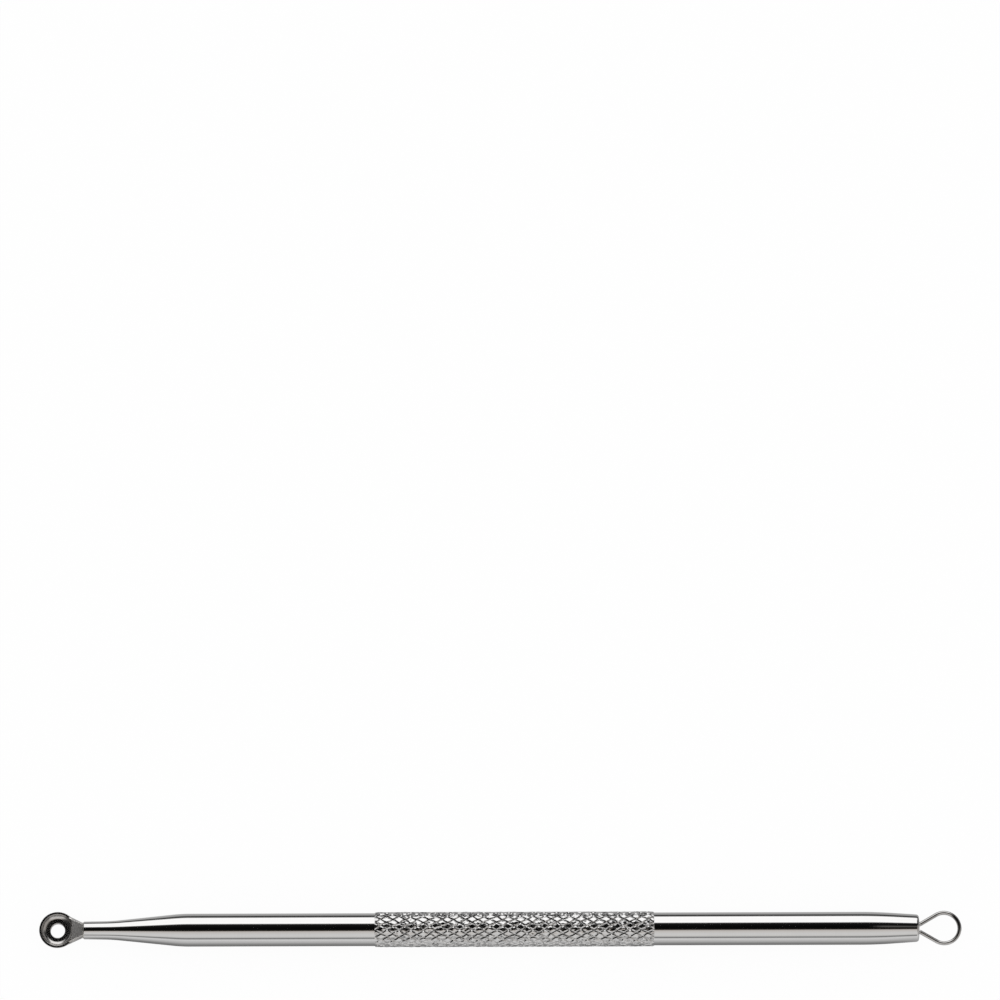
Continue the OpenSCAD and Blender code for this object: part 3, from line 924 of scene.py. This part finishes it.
def wire_line():
    """Points along the middle of the wire, from the end of one leg to the end of the other."""
    bend_y = LEG_Y + BEND_R
    apart = math.hypot(LOOP_REACH, bend_y)
    slope = math.asin((LOOP_R + BEND_R) / apart) - math.atan2(bend_y, LOOP_REACH)
    middle_x = rear_x + LOOP_REACH
    half = []
    for angle in np.linspace(0, math.pi / 2 + slope, LOOP_POINTS):
        half.append((middle_x + LOOP_R * math.cos(angle), LOOP_R * math.sin(angle)))
    for angle in np.linspace(slope, 0, BEND_POINTS):
        half.append((rear_x + BEND_R * math.sin(angle), bend_y - BEND_R * math.cos(angle)))
    half += [(rear_x - LEG_START, LEG_Y), (rear_x - LEG_LEN, LEG_Y)]
    whole = [(x, -y) for x, y in reversed(half)] + half[1:]
    print(f"wire: sides slope {math.degrees(slope):.1f} degrees, {len(whole)} points")
    return [(x, y, axis_z) for x, y in whole]


# %% Bent wire
def wire_tree():
    inputs = {"Radius": "Float", "Sides": "Int", "Metal": "Material"}
    group, board, given = node_group("bent_wire", inputs)
    circle = {"Resolution": given["Sides"], "Radius": given["Radius"]}
    ring = board.add("GeometryNodeCurvePrimitiveCircle", {}, circle)
    sweep = {"Curve": given["Geometry"], "Profile Curve": ring, "Fill Caps": True}
    wire = board.add("GeometryNodeCurveToMesh", {}, sweep)
    wire = board.add("GeometryNodeRealizeInstances", {}, {"Geometry": wire})
    wire = board.add("GeometryNodeSetMaterial", {}, {"Geometry": wire, "Material": given["Metal"]})
    board.add("NodeGroupOutput", {}, {"Geometry": wire})
    return group


def bent_wire():
    line = bpy.data.curves.new("wire_line", "CURVE")
    line.dimensions = "3D"
    points = wire_line()
    spline = line.splines.new("POLY")
    spline.points.add(len(points) - 1)
    for point, place in zip(spline.points, points):
        point.co = (*place, 1.0)
    carrier = bpy.data.objects.new("wire_line", line)
    values = {"Radius": WIRE_R, "Sides": WIRE_SIDES, "Metal": spring_wire}
    return welded(grown("bent_wire", wire_tree(), values, carrier))


finished("bent_wire", bent_wire(), spring_wire, "spring_wire", "wire_loop")

# %% [markdown]
# Silver solder holds both ends in their bores. Molten solder climbs a little up whatever stands
# in it, so each bead ends in a small fillet. Both beads are written as distances too: the
# front one is a sleeve round the tang with a fillet between the collar and the bar's face, the
# rear one fills the bore round the two legs and dips between them and the wall.

# %% Solder
SOLDER_GAP = 0.05  # between the collar and the bar's front face
FILLET, FILLET_EDGE, FILLET_SPREAD = 0.08, 0.03, 0.9
DIP = 0.1  # how far the rear bead's middle lies inside the bar's rear face
LEG_CLIMB, LEG_FADE = 0.09, 0.07  # how far the solder climbs up the legs, and over what distance
WALL_CLIMB, WALL_FADE = 0.04, 0.06  # the same at the bore's wall
FRONT_HALF, REAR_HALF = 1.2, 0.85  # half the width of the boxes that the beads are searched in


def drilled(off_axis, depth, radius, length):
    """The distance to a bore with a drill's cone at its bottom and no end at its mouth."""
    cone = (depth - length) + (off_axis - radius) / DRILL_SLOPE
    return np.maximum(off_axis - radius, cone)


def front_solder_distance(x, y, z):
    """The distance to the bead round the tang, with its fillet behind the collar."""
    off_axis = np.hypot(y, z - axis_z)
    back = x - front_x
    bore = drilled(off_axis, back, FRONT_BORE_R, FRONT_BORE_LEN)
    filling = np.maximum(bore, -SOLDER_GAP - back)
    seam_r = COLLAR_R + FILLET_EDGE + np.maximum(back + SOLDER_GAP, 0) * FILLET_SPREAD
    seam = both(off_axis - seam_r, abs(back + SOLDER_GAP) - FILLET, FILLET_EDGE)
    tang_room = np.maximum(off_axis - TANG_R, collar_x - front_x - back)
    tang_room = np.maximum(tang_room, back - TANG_LEN)
    collar_room = np.maximum(off_axis - COLLAR_R, back + SOLDER_GAP)
    return np.maximum(np.minimum(filling, seam), -np.minimum(tang_room, collar_room))


def rear_solder_distance(x, y, z):
    """The distance to the bead round the wire's legs."""
    off_axis = np.hypot(y, z - axis_z)
    out = x - rear_x
    off_leg = np.hypot(abs(y) - LEG_Y, z - axis_z) - WIRE_R
    climb = LEG_CLIMB * np.exp(-np.maximum(off_leg, 0) / LEG_FADE)
    climb = climb + WALL_CLIMB * np.exp((off_axis - REAR_BORE_R) / WALL_FADE)
    bore = drilled(off_axis, -out, REAR_BORE_R, REAR_BORE_LEN)
    filling = np.maximum(bore, out + DIP - climb)
    leg = np.maximum(off_leg, -LEG_LEN - out)
    return np.maximum(filling, -leg)


# %% Beads
front_bead = netted(
    "front_bead", front_solder_distance,
    (front_x - 0.3, -FRONT_HALF, axis_z - FRONT_HALF),
    (front_x + FRONT_BORE_LEN + 0.6, FRONT_HALF, axis_z + FRONT_HALF), SOLDER_CELL,
)
finished("front_bead", front_bead, silver_solder, "silver_solder", "spoon_solder")
rear_bead = netted(
    "rear_bead", rear_solder_distance,
    (rear_x - REAR_BORE_LEN - 0.7, -REAR_HALF, axis_z - REAR_HALF),
    (rear_x + 0.2, REAR_HALF, axis_z + REAR_HALF), SOLDER_CELL,
)
finished("rear_bead", rear_bead, silver_solder, "silver_solder", "loop_solder")

# %% [markdown]
# Last, the pictures are set to Blender's plain Standard view.

# %% Finish
bpy.context.scene.view_settings.view_transform = "Standard"
